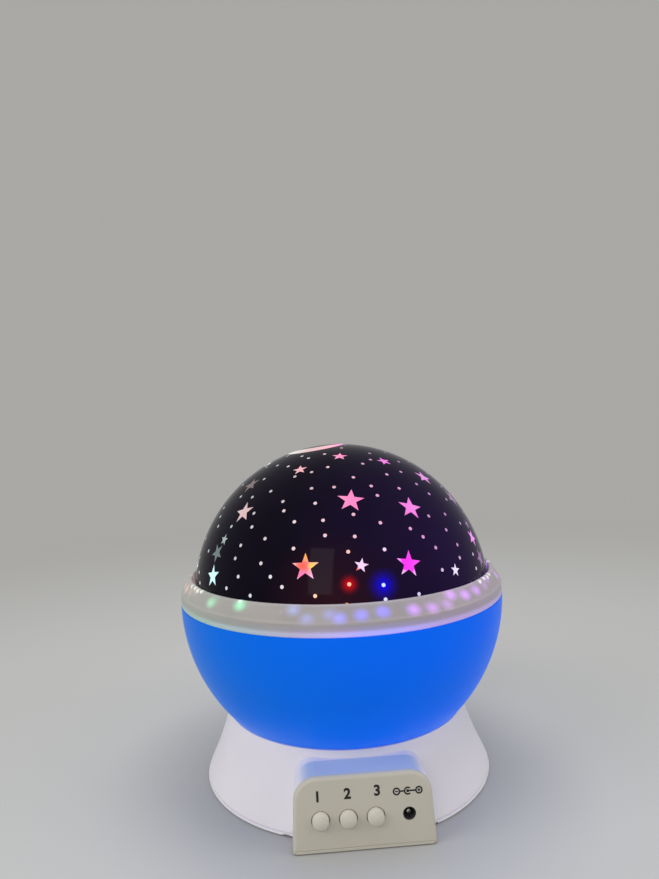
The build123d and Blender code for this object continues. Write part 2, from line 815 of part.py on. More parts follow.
def bowl_shell():
    """Blue lower bowl: sphere wall cut flat below, floor on the hub, skirt ring under the floor."""
    foot_r = base_rim_radius
    edge_r = sphere_radius_at(ball_radius, bowl_edge)
    floor = bowl_bottom + bowl_floor
    inner_foot = sphere_radius_at(bowl_inner_radius, floor)
    inner_edge = sphere_radius_at(bowl_inner_radius, bowl_edge)
    low = (bowl_bottom + bowl_edge) / 2
    outer_mid = (sphere_radius_at(ball_radius, low), low)
    inner_mid = (sphere_radius_at(bowl_inner_radius, low), low)
    bowl = turned(
        Line((0, bowl_bottom), (foot_r, bowl_bottom)),
        ThreePointArc((foot_r, bowl_bottom), outer_mid, (edge_r, bowl_edge)),
        Line((edge_r, bowl_edge), (inner_edge, bowl_edge)),
        ThreePointArc((inner_edge, bowl_edge), inner_mid, (inner_foot, floor)),
        Polyline((inner_foot, floor), (0, floor), (0, bowl_bottom)),
    )
    bowl += tube(skirt_radius, skirt_radius - skirt_wall, bowl_bottom - skirt_depth, bowl_bottom + into)
    bowl -= disc(hub_spigot_radius + seat_gap, bowl_bottom - past, floor + past)
    for angle in hub_screw_angles:
        x, y = polar(hub_screw_circle, angle)
        bowl -= disc(small_screw_radius + seat_gap, bowl_bottom - past, floor + past, x, y)
    return bowl


def collar_ring():
    """Frosted ring between bowl and dome: spigot in the bowl, ledge under the dome, stepped outside."""
    edge_r = sphere_radius_at(ball_radius, bowl_edge)
    spigot_r = sphere_radius_at(bowl_inner_radius, bowl_edge - collar_spigot_depth) - seat_gap
    ledge_top = dome_bottom - seat_gap
    wall_r = dome_radius + slide_gap
    band_top = collar_bottom + collar_band_height
    return turned(
        Polyline(
            (spigot_r, collar_bottom),
            (edge_r, collar_bottom),
            (edge_r - collar_lean, band_top),
            (edge_r - collar_lean - collar_step, band_top + collar_step),
            (collar_top_radius, collar_top - collar_round),
            (collar_top_radius - collar_round, collar_top),
            (wall_r, collar_top),
            (wall_r, ledge_top),
            (wall_r - collar_ledge, ledge_top),
            (spigot_r - collar_spigot_wall, collar_bottom - collar_web),
            (spigot_r - collar_spigot_wall, collar_bottom - collar_spigot_depth),
            (spigot_r, collar_bottom - collar_spigot_depth),
            close=True,
        )
    )


# ---- dome ----------------------------------------------------------------------------------


def dome_of(outer, inner):
    """Spherical cap between two radii, cut level above the ball's centre."""
    shell = Sphere(outer) - Sphere(inner)
    return (Pos(0, 0, ball_height) * shell) & disc(ball_radius, dome_bottom, ball_height + ball_radius)


def direction(azimuth, elevation):
    """Unit vector from the ball's centre, azimuth counted from the front toward +X."""
    a, e = math.radians(azimuth), math.radians(elevation)
    return Vector(math.sin(a) * math.cos(e), -math.cos(a) * math.cos(e), math.sin(e))


def skin_plane(azimuth, elevation, tilt=0.0):
    """Plane touching the skin at a place, its Y along the meridian toward the top."""
    out = direction(azimuth, elevation)
    east = Vector(math.cos(math.radians(azimuth)), math.sin(math.radians(azimuth)), 0)
    plane = Plane(origin=Vector(0, 0, ball_height) + out * dome_radius, x_dir=east, z_dir=out)
    return plane.rotated((0, 0, -tilt))


def through(plane, face):
    """Cutter through the skin from a face drawn on a skin plane."""
    return extrude(plane * face, past) + extrude(plane * face, -dome_wall)


def star_face(tip):
    """Five-pointed star."""
    corners = []
    for i in range(10):
        angle = math.radians(90 + 36 * i)
        radius = tip * (star_waist if i % 2 else 1)
        corners.append((radius * math.cos(angle), radius * math.sin(angle)))
    return Polygon(*corners, align=None)


def star_places():
    """The star panel repeated round the dome."""
    places = []
    for turn in range(panels):
        for azimuth, elevation, tip, tilt in star_panel:
            places.append((azimuth + 360 / panels * turn, elevation, tip, tilt))
    return places


def dot_places():
    """Pin holes on a shaken golden spiral over the dome, kept clear of the stars and the crescent."""
    golden_angle = 180 * (3 - math.sqrt(5))
    taken = [(direction(azimuth, elevation), tip) for azimuth, elevation, tip, _ in star_places()]
    taken.append((direction(*moon_place), moon_radius))
    places = []
    for i in range(dot_count):
        height = 1 - (i + 0.5) / dot_count
        elevation = math.degrees(math.asin(height)) + dot_shake[0] * math.sin(12.9 * i)
        azimuth = golden_angle * i + dot_shake[1] * math.sin(7.7 * i) / math.cos(math.radians(elevation))
        here = direction(azimuth, elevation)
        clear = all((here - way).length * dome_radius > size + dot_clearance for way, size in taken)
        if clear and elevation > dot_low:
            places.append((azimuth, elevation))
    return places


def star_mask():
    """Black skin over the clear dome, pierced by stars, pin holes and a crescent."""
    cutters = []
    for azimuth, elevation, tip, tilt in star_places():
        cutters.append(through(skin_plane(azimuth, elevation, tilt), star_face(tip)))
    for azimuth, elevation in dot_places():
        cutters.append(through(skin_plane(azimuth, elevation), RegularPolygon(dot_radius, dot_sides)))
    crescent = Circle(moon_radius) - Pos(0, moon_bite_shift) * Circle(moon_bite_radius)
    top = Plane(origin=skin_plane(*moon_place).origin, x_dir=(1, 0, 0), z_dir=direction(*moon_place))
    cutters.append(through(top.rotated((0, 0, -moon_turn)), crescent))
    return dome_of(dome_radius, dome_radius - mask_wall) - cutters


def dome_shell():
    """Clear dome under the skin."""
    outer = dome_radius - mask_wall - seat_gap
    return dome_of(outer, outer - dome_wall)


# ---- write ---------------------------------------------------------------------------------

os.makedirs("parts", exist_ok=True)
save("base_housing", base_housing())
save("base_plate", base_plate())
save("battery_door", battery_door())
save("foot_pads", foot_pads())
save("base_screws", base_screws())
for number, place in enumerate(button_places(), 1):
    save(f"button_{number}", button(place))
    save(f"switch_plunger_{number}", plunger(place))
save("tact_switches", tact_switches())
save("control_board", control_board())
save("board_screws", board_screws())
save("dc_jack", dc_jack())
save("dc_pin", dc_pin())
save("aaa_cells", aaa_cells())
save("cell_contacts", cell_contacts())
save("chassis_plate", chassis_plate())
save("chassis_screws", chassis_screws())
save("motor_can", motor_can())
save("motor_screws", motor_screws())
save("motor_shaft", motor_shaft())
save("motor_pinion", motor_pinion())
save("lamp_post", lamp_post())
save("thrust_washer", thrust_washer())
save("lamp_holder", lamp_holder())
save("lamp_board", lamp_board())
save("lamp_wires", lamp_wires())
for colour, angle in (("blue", 0), ("green", 90), ("warm", 180), ("red", 270)):
    save(f"led_{colour}", led(angle))
save("drive_gear", drive_gear())
save("hub_screws", hub_screws())
save("bowl_shell", bowl_shell())
save("collar_ring", collar_ring())
save("dome_shell", dome_shell())
save("star_mask", star_mask())
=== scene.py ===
import bmesh
import bpy
from math import asin, cos, degrees, pi, radians, sin, sqrt
from mathutils import Matrix, Vector


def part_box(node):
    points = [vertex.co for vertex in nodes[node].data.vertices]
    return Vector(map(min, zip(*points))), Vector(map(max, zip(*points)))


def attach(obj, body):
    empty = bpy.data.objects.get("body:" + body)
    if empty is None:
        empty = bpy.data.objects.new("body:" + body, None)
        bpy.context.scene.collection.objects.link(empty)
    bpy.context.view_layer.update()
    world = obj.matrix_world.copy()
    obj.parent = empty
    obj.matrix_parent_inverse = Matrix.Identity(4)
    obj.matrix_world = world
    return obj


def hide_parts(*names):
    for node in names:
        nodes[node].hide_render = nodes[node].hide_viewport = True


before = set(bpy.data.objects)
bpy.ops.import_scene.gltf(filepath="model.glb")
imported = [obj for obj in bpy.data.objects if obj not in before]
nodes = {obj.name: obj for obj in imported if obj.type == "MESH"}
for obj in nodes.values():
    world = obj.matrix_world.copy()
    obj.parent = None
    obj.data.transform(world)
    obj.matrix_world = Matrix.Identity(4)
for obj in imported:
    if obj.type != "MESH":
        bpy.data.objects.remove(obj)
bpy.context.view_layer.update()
mm = 0.001

# ---- table top, light and camera -----------------------------------------------------------
# The lamp stands on a plain pale table that fades into a pale backdrop, in soft light from
# broad panels. The camera is close and almost level with the top of the dome.

table_half = 6.0
table_colour = (0.43, 0.43, 0.42, 1)
table_gloss = 0.55
backdrop_colour = (0.40, 0.393, 0.375, 1)
fade_start = 0.16
fade_end = 0.75

top_mesh = bpy.data.meshes.new("table_top")
bm = bmesh.new()
bmesh.ops.create_grid(bm, x_segments=2, y_segments=2, size=table_half)
bm.to_mesh(top_mesh)
bm.free()
table_top = bpy.data.objects.new("table_top", top_mesh)
bpy.context.collection.objects.link(table_top)


class Field:
    """A value that varies over a surface. Arithmetic on it adds Math nodes."""

    def __init__(self, tree, socket):
        self.tree = tree
        self.socket = socket

    def node(self, kind, settings, values, output=0):
        """Any other node: its settings first, then the values or links of its sockets."""
        made = self.tree.nodes.new(kind)
        for key, value in settings.items():
            if key == "stops":
                ramp = made.color_ramp
                ramp.elements.remove(ramp.elements[-1])
                for index, (place, colour) in enumerate(value):
                    element = ramp.elements[0] if index == 0 else ramp.elements.new(place)
                    element.position = place
                    element.color = (*colour, 1)
            else:
                setattr(made, key, value)
        for key, value in values.items():
            if isinstance(value, Field):
                self.tree.links.new(value.socket, made.inputs[key])
            else:
                made.inputs[key].default_value = value
        return Field(self.tree, made.outputs[output])

    def math(self, operation, *values):
        return self.node("ShaderNodeMath", {"operation": operation}, dict(enumerate(values)))

    def vector(self, operation, *values, output=0):
        return self.node("ShaderNodeVectorMath", {"operation": operation}, dict(enumerate(values)), output)

    def __add__(self, other):
        return self.math("ADD", self, other)

    def __sub__(self, other):
        return self.math("SUBTRACT", self, other)

    def __rsub__(self, other):
        return self.math("SUBTRACT", other, self)

    def __mul__(self, other):
        return self.math("MULTIPLY", self, other)

    def __truediv__(self, other):
        return self.math("DIVIDE", self, other)

    def __pow__(self, other):
        return self.math("POWER", self, other)

    __radd__ = __add__
    __rmul__ = __mul__

    def clamped(self):
        return self.node("ShaderNodeClamp", {}, {"Value": self})

    def noise(self, size, detail=2.0):
        """Soft noise from 0 to 1 whose blotches are about a size across."""
        values = {"Vector": self, "Scale": 1 / size, "Detail": detail}
        return self.node("ShaderNodeTexNoise", {}, values, "Fac")

    def blend(self, low, high):
        """Colour between two, by this value."""
        low = low if isinstance(low, Field) else (*low, 1)
        high = high if isinstance(high, Field) else (*high, 1)
        values = {0: self, 6: low, 7: high}
        return self.node("ShaderNodeMix", {"data_type": "RGBA"}, values, 2)

    def ramp(self, *stops):
        return self.node("ShaderNodeValToRGB", {"stops": stops}, {0: self}, "Color")

    def bump(self, depth, strength=1.0):
        """Surface relief of a depth in metres, by this value."""
        values = {"Height": self, "Distance": depth, "Strength": strength}
        return self.node("ShaderNodeBump", {}, values, "Normal")

    def axis(self, name):
        return self.node("ShaderNodeSeparateXYZ", {}, {0: self}, name)


def tree_of(data):
    """Node tree of a material or world, its shader node and its output node."""
    data.use_nodes = True
    tree = data.node_tree
    shaders = [node for node in tree.nodes if node.type in ("BSDF_PRINCIPLED", "BACKGROUND")]
    outputs = [node for node in tree.nodes if node.type in ("OUTPUT_MATERIAL", "OUTPUT_WORLD")]
    return tree, shaders[0], outputs[0]


def seen(tree):
    """One where the camera, a gloss or a clear piece looks straight at a surface."""
    path = tree.nodes.new("ShaderNodeLightPath")
    camera_ray, glossy_ray, clear_ray = (
        Field(tree, path.outputs[f"Is {name} Ray"]) for name in ("Camera", "Glossy", "Transmission")
    )
    return (camera_ray + glossy_ray + clear_ray).clamped()


table_finish = bpy.data.materials.new("table_finish")
top_mesh.materials.append(table_finish)
tree, shader, output = tree_of(table_finish)
shader.inputs["Base Color"].default_value = table_colour
shader.inputs["Roughness"].default_value = table_gloss
place = Field(tree, tree.nodes.new("ShaderNodeTexCoord").outputs["Object"])
far_off = ((place.vector("LENGTH", place, output="Value") - fade_start) / (fade_end - fade_start)).clamped()
haze = tree.nodes.new("ShaderNodeEmission")
haze.inputs["Color"].default_value = backdrop_colour
mixed = far_off.node(
    "ShaderNodeMixShader",
    {},
    {0: far_off * seen(tree), 1: Field(tree, shader.outputs[0]), 2: Field(tree, haze.outputs[0])},
)
tree.links.new(mixed.socket, output.inputs["Surface"])

room_colour = (0.86, 0.86, 0.87, 1)
room_light = 0.46
world = bpy.data.worlds.new("room")
bpy.context.scene.world = world
tree, shader, output = tree_of(world)
shader.inputs["Color"].default_value = room_colour
shader.inputs["Strength"].default_value = room_light
backdrop = tree.nodes.new("ShaderNodeBackground")
backdrop.inputs["Color"].default_value = backdrop_colour
path = Field(tree, tree.nodes.new("ShaderNodeLightPath").outputs["Is Camera Ray"])
mixed = path.node(
    "ShaderNodeMixShader",
    {},
    {0: path, 1: Field(tree, shader.outputs[0]), 2: Field(tree, backdrop.outputs[0])},
)
tree.links.new(mixed.socket, output.inputs["Surface"])


def soft_panel(name, place, aim, width, height, watts, mirrored=False):
    """Broad rectangular light turned toward a point."""
    light = bpy.data.lights.new(name, "AREA")
    light.shape = "RECTANGLE"
    light.size = width
    light.size_y = height
    light.energy = watts
    panel = bpy.data.objects.new(name, light)
    panel.location = place
    panel.rotation_euler = (Vector(aim) - Vector(place)).to_track_quat("-Z", "Y").to_euler()
    panel.visible_glossy = mirrored
    bpy.context.collection.objects.link(panel)


# Each panel: place, aim, width, height and watts. Only the window shows in glossy plastic.
soft_panel("left_panel", (-0.80, -0.35, 0.60), (0, 0, 0.07), 0.6, 0.6, 4.0)
soft_panel("right_panel", (0.80, -0.30, 0.50), (0, 0, 0.06), 0.5, 0.5, 2.2)
soft_panel("top_panel", (0.05, 0.10, 1.00), (0, 0, 0.08), 0.8, 0.6, 6.5)
soft_panel("window_panel", (-0.42, -1.20, 0.66), (0, 0, 0.10), 0.42, 0.80, 2.2, True)

camera_place = (-0.01934, -0.2659, 0.13506)
camera_turn = -3.7
camera_down = 0.57
camera_roll = -2.46
focal_pixels = 640
frame_long_side = 879
camera = bpy.data.cameras.new("camera")
camera.sensor_width = 36
camera.lens = focal_pixels / frame_long_side * camera.sensor_width
camera.clip_start = 0.01
viewer = bpy.data.objects.new("camera", camera)
bpy.context.collection.objects.link(viewer)
viewer.matrix_world = (
    Matrix.Translation(camera_place)
    @ Matrix.Rotation(radians(camera_turn), 4, "Z")
    @ Matrix.Rotation(radians(90 - camera_down), 4, "X")
    @ Matrix.Rotation(radians(camera_roll), 4, "Z")
)
bpy.context.scene.camera = viewer
bpy.context.scene.view_settings.view_transform = "Standard"


# ---- base housing --------------------------------------------------------------------------
# The white cone and its pod are one moulding in ABS, with a faint grain and a satin gloss.
# The deck that the ball turns over and the screw bosses are part of it.


def finish(name, paint, constants):
    """Material with fixed sockets and the fields that paint works out from the place."""
    material = bpy.data.materials.new(name)
    tree, shader, _ = tree_of(material)
    for key, value in constants.items():
        shader.inputs[key].default_value = value
    place = Field(tree, tree.nodes.new("ShaderNodeTexCoord").outputs["Object"])
    for key, field in paint(place).items():
        tree.links.new(field.socket, shader.inputs[key])
    return material


cloud_size = 14 * mm
scuff_size = 3 * mm
scuff_share = 0.10
grain_size = 0.6 * mm
grain_relief = 0.02 * mm


def moulded_face(place, light, dark, gloss):
    """Look of moulded plastic: cloudy colour, uneven gloss and fine grain."""
    return {
        "Base Color": place.noise(cloud_size, 3.0).blend(light, dark),
        "Roughness": gloss + scuff_share * place.noise(scuff_size, 4.0),
        "Normal": place.noise(grain_size, 2.0).bump(grain_relief, 0.5),
    }


def moulded(name, light, dark, gloss):
    """Material of a moulded part in one plastic."""
    return finish(name, lambda place: moulded_face(place, light, dark, gloss), {})


weld = 0.001 * mm


def joined(node):
    """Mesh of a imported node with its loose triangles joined."""
    bm = bmesh.new()
    bm.from_mesh(nodes[node].data)
    bmesh.ops.remove_doubles(bm, verts=bm.verts, dist=weld)
    return bm


def piece(name, bm, body, slot, material, *replaced, crease=32):
    """Finished piece: smooth but for its creases, riding on a body."""
    mesh = bpy.data.meshes.new(name)
    bm.to_mesh(mesh)
    bm.free()
    mesh.shade_smooth()
    mesh.set_sharp_from_angle(angle=radians(crease))
    mesh.materials.append(material)
    made = bpy.data.objects.new(name, mesh)
    bpy.context.collection.objects.link(made)
    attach(made, body)
    if replaced:
        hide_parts(*replaced)
    return made


def evaluated(made):
    """Mesh of an object as its modifiers or its outlines make it."""
    bpy.context.view_layer.update()
    return bpy.data.meshes.new_from_object(made.evaluated_get(bpy.context.evaluated_depsgraph_get()))


level_limit = 0.99999


def levelled(made):
    """Weigh a piece's shading by its broad faces, and return it with the level faces quite flat."""
    made.modifiers.new("level", "WEIGHTED_NORMAL").keep_sharp = True
    shaded = evaluated(made)
    made.modifiers.clear()
    made.data = shaded
    normals = [corner.vector.copy() for corner in shaded.corner_normals]
    for face in shaded.polygons:
        if abs(face.normal.z) > level_limit:
            for loop in face.loop_indices:
                normals[loop] = face.normal.copy()
    return normals


# Painted shade: the pod's face is a darker, warmer cream. Painted light: the pod's top is blue where the
# bowl shines on it.
shaded_face_start = 57.4 * mm
shaded_face_blend = 1.2 * mm
pod_back = 48.1 * mm
pod_back_blend = 0.9 * mm
pod_top = 21.4 * mm
pod_top_blend = 1.8 * mm
cone_whites = ((0.84, 0.80, 0.83), (0.79, 0.75, 0.78))
shone_blues = ((0.50, 0.60, 0.74), (0.46, 0.56, 0.70))
face_shade_creams = ((0.585, 0.55, 0.455), (0.55, 0.515, 0.425))
housing_gloss = 0.34


def housing_paint(place):
    """White, with painted shade that makes the pod's face warmer and darker, and painted blue light where
    the bowl shines on the pod's top.
    """
    forward = 0 - place.axis("Y")
    # Masks of the painted shade on the pod's face and of the painted blue light on the pod's top.
    face = ((forward - shaded_face_start) / shaded_face_blend).clamped()
    raised = ((place.axis("Z") - pod_top) / pod_top_blend).clamped()
    shone = raised * ((forward - pod_back) / pod_back_blend).clamped()
    light, dark = (
        face.blend(shone.blend(white, blue), cream)
        for white, blue, cream in zip(cone_whites, shone_blues, face_shade_creams)
    )
    return moulded_face(place, light, dark, housing_gloss)


white_abs = finish("white_abs", housing_paint, {})
shell_crease = 28
housing = piece(
    "housing_shell",
    joined("base_housing"),
    "base",
    "white_abs",
    white_abs,
    "base_housing",
    crease=shell_crease,
)
cone_low = Vector((56.5, 2.4)) * mm
cone_high = Vector((47.6, 25.8)) * mm
cone_bow = 0.7 * mm
tilt_low = 26.8
tilt_high = 14.8
side_margin = 0.01
side_depth = 0.08 * mm


def cone_share(point):
    """How far up the cone's side a point is, or nothing where it isn't on that side."""
    share = (point.z - cone_low.y) / (cone_high.y - cone_low.y)
    radius = cone_low.x + (cone_high.x - cone_low.x) * share - 4 * cone_bow * share * (1 - share)
    on_side = -side_margin < share < 1 + side_margin and abs(point.xy.length - radius) < side_depth
    return share if on_side else None


def cone_normal(point, share):
    """Outward direction of the turned side, which bows in."""
    tilt = radians(tilt_low + (tilt_high - tilt_low) * share)
    out = point.xy.normalized()
    return (out.x * cos(tilt), out.y * cos(tilt), sin(tilt))


normals = levelled(housing)
shell_mesh = housing.data
for face in shell_mesh.polygons:
    points = [shell_mesh.vertices[index].co for index in face.vertices]
    shares = [cone_share(point) for point in points]
    if None not in shares:
        for loop, point, share in zip(face.loop_indices, points, shares):
            normals[loop] = cone_normal(point, share)
shell_mesh.normals_split_custom_set(normals)


# ---- base plate, battery door, feet and screws -----------------------------------------------
# The bottom cover closes the housing with four screws and holds the cells under a sliding door.
# Plate and door are the housing's own ABS; the feet are soft rubber pressed into recesses.

for name, node, body in (
    ("bottom_cover", "base_plate", "base"),
    ("cell_door", "battery_door", "battery_door"),
):
    part = piece(name, joined(node), body, "white_abs", white_abs, node, crease=shell_crease)
    normals = levelled(part)
    part.data.normals_split_custom_set(normals)
rubber = moulded("foot_rubber", (0.055, 0.055, 0.058), (0.035, 0.035, 0.038), 0.72)
piece("feet", joined("foot_pads"), "base", "rubber_foot", rubber, "foot_pads")


streak_size = 1.5 * mm
streak_squeeze = (1, 1, 9)
streak_relief = 0.004 * mm


def metal(name, light, dark, gloss):
    """Plated or turned metal with fine streaks."""

    def paint(place):
        squeezed = place.node("ShaderNodeMapping", {}, {"Vector": place, "Scale": streak_squeeze})
        streak = squeezed.noise(streak_size, 4.0)
        return {
            "Base Color": streak.blend(light, dark),
            "Roughness": gloss + 0.15 * streak,
            "Normal": streak.bump(streak_relief, 0.4),
        }

    return finish(name, paint, {"Metallic": 1.0})


zinc = metal("zinc_plate", (0.62, 0.62, 0.64), (0.48, 0.48, 0.50), 0.26)
piece("cover_screws", joined("base_screws"), "base", "zinc_screw", zinc, "base_screws")


# ---- push buttons --------------------------------------------------------------------------
# Three round caps in white ABS, softer edged and a little glossier than the pod. Each rests on
# the plunger of its switch.

# The caps' white is darkened to a warm cream as painted shade, like the pod's face.
shaded_button_white = moulded("button_abs", (0.665, 0.635, 0.535), (0.625, 0.595, 0.50), 0.30)
plunger_black = moulded("plunger_nylon", (0.02, 0.02, 0.022), (0.012, 0.012, 0.014), 0.45)
button_bodies = ("left_button", "middle_button", "right_button")


def coloured(node, material):
    """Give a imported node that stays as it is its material."""
    nodes[node].data.materials.clear()
    nodes[node].data.materials.append(material)


for number, body in enumerate(button_bodies, 1):
    cap = f"button_{number}"
    piece(f"cap_{number}", joined(cap), body, "white_button", shaded_button_white, cap)
    coloured(f"switch_plunger_{number}", plunger_black)


# ---- marks on the pod ----------------------------------------------------------------------
# Pad-printed in black on the face: a numeral over each button and a plug sign over the socket.
# The ink is a thin film that stands hardly proud of the plastic.

ink = moulded("pad_ink", (0.003, 0.003, 0.004), (0.006, 0.006, 0.007), 0.50)
pod_front = 61.5 * mm
pod_lean = 5.0
ink_height = 0.03 * mm
mark_height = 17.9 * mm
mark_climb = 0.3 * mm
mark_pitch = 9.75 * mm
numeral_size = 4.6 * mm
numeral_weight = 0.16 * mm


def printed(name, bm, x, up):
    """Lay flat marks drawn in XY against the pod's leaning face and give them the ink's thickness."""
    raised = bmesh.ops.extrude_face_region(bm, geom=bm.faces[:])["geom"]
    moved = [v for v in raised if isinstance(v, bmesh.types.BMVert)]
    bmesh.ops.translate(bm, verts=moved, vec=(0, 0, 2 * ink_height))
    bmesh.ops.recalc_face_normals(bm, faces=bm.faces)
    foot = Matrix.Translation((0, -pod_front, 0)) @ Matrix.Rotation(radians(-pod_lean), 4, "X")
    seat = foot @ Matrix.Translation((x, ink_height, up)) @ Matrix.Rotation(radians(90), 4, "X")
    bmesh.ops.transform(bm, matrix=seat, verts=bm.verts)
    piece(name, bm, "base", "black_plastic", ink)


middle_number = 2
middle_low, middle_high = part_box(f"button_{middle_number}")
middle_button = (middle_low.x + middle_high.x) / 2
for number in (1, 2, 3):
    text = bpy.data.curves.new(f"numeral_{number}", "FONT")
    text.body = str(number)
    text.size = numeral_size
    text.offset = numeral_weight
    text.align_x = "CENTER"
    text.align_y = "CENTER"
    drawn = bpy.data.objects.new(f"numeral_{number}", text)
    bpy.context.collection.objects.link(drawn)
    bm = bmesh.new()
    bm.from_mesh(evaluated(drawn))
    bpy.data.objects.remove(drawn)
    step = number - middle_number
    printed(f"mark_{number}", bm, middle_button + step * mark_pitch, mark_height + step * mark_climb)


def bar(bm, x, width, height):
    """Flat rectangle about a point on the sign's middle line."""
    place = Matrix.Translation((x, 0, 0)) @ Matrix.Diagonal((width, height, 1, 1))
    bmesh.ops.create_grid(bm, x_segments=1, y_segments=1, size=0.5, matrix=place)


full_turn = 360
ring_step = 10


def ring(bm, x, radius, line, turn=full_turn, start=0):
    """Flat ring or open ring about a point on the sign's middle line."""
    way = Vector((cos(radians(start)), sin(radians(start)), 0))
    middle = Vector((x, 0, 0))
    inner = bm.verts.new(middle + way * (radius - line))
    outer = bm.verts.new(middle + way * radius)
    edge = bm.edges.new((inner, outer))
    bmesh.ops.spin(
        bm,
        geom=[inner, outer, edge],
        cent=middle,
        axis=(0, 0, 1),
        angle=radians(turn),
        steps=turn // ring_step,
        use_merge=turn == full_turn,
    )


jack_low, jack_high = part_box("dc_jack")
jack_x = (jack_low.x + jack_high.x) / 2
sign_line = 0.5 * mm
pin_dot = 0.5 * mm
cup_radius = 1.3 * mm
cup_turn = 270
cup_start = 45
end_reach = 3.7 * mm
end_radius = 1.25 * mm
stroke = 1.0 * mm
stroke_line = 0.36 * mm
link_minus = (-1.9 * mm, 1.2 * mm)
link_plus = (1.5 * mm, 2.0 * mm)
sign_shift = -0.2 * mm
sign_drop = 0.4 * mm
sign = bmesh.new()
bmesh.ops.create_circle(sign, cap_ends=True, segments=20, radius=pin_dot)
ring(sign, 0, cup_radius, sign_line, cup_turn, cup_start)
for side in (-1, 1):
    ring(sign, side * end_reach, end_radius, sign_line)
    bar(sign, side * end_reach, stroke, stroke_line)
bar(sign, end_reach, stroke_line, stroke)
for x, width in (link_minus, link_plus):
    bar(sign, x, width, sign_line)
printed("mark_socket", sign, jack_x + sign_shift, mark_height - sign_drop)


# ---- power socket --------------------------------------------------------------------------
# Black moulded socket soldered to the board behind the pod, its round nose in the wall and a
# nickelled pin down its middle.

socket_black = moulded("socket_nylon", (0.015, 0.015, 0.017), (0.008, 0.008, 0.009), 0.35)
piece("socket", joined("dc_jack"), "base", "black_plastic", socket_black, "dc_jack")
nickel = metal("nickel_plate", (0.88, 0.85, 0.78), (0.76, 0.73, 0.66), 0.34)
piece("socket_pin", joined("dc_pin"), "base", "pin_brass", nickel, "dc_pin")


# ---- works inside the base -----------------------------------------------------------------
# Board and switches, cells and contacts, motor and gears, and the chassis with the lamp post.
# Nothing here is painted: each part has its own plastic, plate or solder mask.

board_green = moulded("solder_mask", (0.02, 0.20, 0.07), (0.015, 0.15, 0.05), 0.30)
cell_wrap = moulded("cell_sleeve", (0.10, 0.11, 0.13), (0.07, 0.08, 0.10), 0.28)
nylon = moulded("natural_nylon", (0.80, 0.79, 0.73), (0.74, 0.73, 0.67), 0.42)
inner_white = moulded("inner_abs", (0.74, 0.74, 0.72), (0.68, 0.68, 0.66), 0.45)
wire_sleeve = moulded("wire_sleeve", (0.55, 0.05, 0.04), (0.45, 0.04, 0.03), 0.40)
motor_case = metal("motor_case", (0.62, 0.62, 0.63), (0.50, 0.50, 0.52), 0.30)
board_white = moulded("white_mask", (0.82, 0.83, 0.82), (0.76, 0.77, 0.76), 0.35)
works = {
    "control_board": board_green,
    "tact_switches": plunger_black,
    "board_screws": zinc,
    "aaa_cells": cell_wrap,
    "cell_contacts": nickel,
    "motor_can": motor_case,
    "motor_shaft": motor_case,
    "motor_screws": zinc,
    "motor_pinion": nylon,
    "drive_gear": nylon,
    "hub_screws": zinc,
    "thrust_washer": nylon,
    "chassis_plate": inner_white,
    "chassis_screws": zinc,
    "lamp_wires": wire_sleeve,
}
for node, material in works.items():
    coloured(node, material)


# ---- lamp ----------------------------------------------------------------------------------
# A tray on the fixed post carries a white board with four five-millimetre lamps, whose tips
# stand near the ball's centre so that the dome's holes throw sharp stars.

piece("post", joined("lamp_post"), "base", "inner_white", inner_white, "lamp_post")
piece("lamp_tray", joined("lamp_holder"), "base", "inner_white", inner_white, "lamp_holder")
piece("lamp_disc", joined("lamp_board"), "base", "board_white", board_white, "lamp_board")
lamp_colours = {
    "led_red": (1.0, 0.05, 0.03),
    "led_green": (0.05, 0.9, 0.12),
    "led_blue": (0.03, 0.08, 1.0),
    "led_warm": (1.0, 0.78, 0.45),
}
lamp_dim = 0.6
lamp_cloud = 1.5 * mm


def lit_epoxy(name, colour):
    """Tinted epoxy of a lamp that is on."""
    dim = tuple(lamp_dim * share for share in colour)

    def paint(place):
        glow = place.noise(lamp_cloud, 1.0).blend(colour, dim)
        return {"Base Color": glow, "Emission Color": glow}

    return finish(name, paint, {"Roughness": 0.08, "Emission Strength": 1.4})


for node, colour in lamp_colours.items():
    piece(f"{node}_lamp", joined(node), "base", node, lit_epoxy(f"epoxy_{node}", colour), node)


# ---- bowl ----------------------------------------------------------------------------------
# Lower half of the ball: injection moulded in translucent blue polystyrene, polished outside,
# screwed to the drive gear's hub through its flat floor. The lamps inside make it glow.

bowl_low, bowl_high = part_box("bowl_shell")
ball_drop = 0.5 * mm
ball_z = bowl_high.z + ball_drop
ball_radius = sqrt(bowl_high.x**2 + ball_drop**2)
bowl_wall = 2.0 * mm
skirt_depth = 1.3 * mm
bowl_bottom = bowl_low.z + skirt_depth
skirt_outer = 45.7 * mm
skirt_inner = 44.1 * mm
hub_hole = 6.75 * mm
lathe_steps = 192
outside_steps = 40
inside_steps = 36


def arc(radius, low, high, steps):
    """Points in radius and height on a circle about the ball's centre, between two heights."""
    start = asin((low - ball_z) / radius)
    end = asin((high - ball_z) / radius)
    turns = [start + (end - start) * i / steps for i in range(steps + 1)]
    return [(radius * cos(t), ball_z + radius * sin(t)) for t in turns]


def lathe(outline):
    """Turn a closed outline in radius and height about the ball's axis."""
    bm = bmesh.new()
    verts = [bm.verts.new((radius, 0, height)) for radius, height in outline]
    edges = [bm.edges.new(pair) for pair in zip(verts, verts[1:] + verts[:1])]
    bmesh.ops.spin(
        bm,
        geom=verts + edges,
        cent=(0, 0, 0),
        axis=(0, 0, 1),
        angle=2 * pi,
        steps=lathe_steps,
        use_merge=True,
    )
    bmesh.ops.remove_doubles(bm, verts=bm.verts, dist=weld)
    bmesh.ops.recalc_face_normals(bm, faces=bm.faces)
    return bm


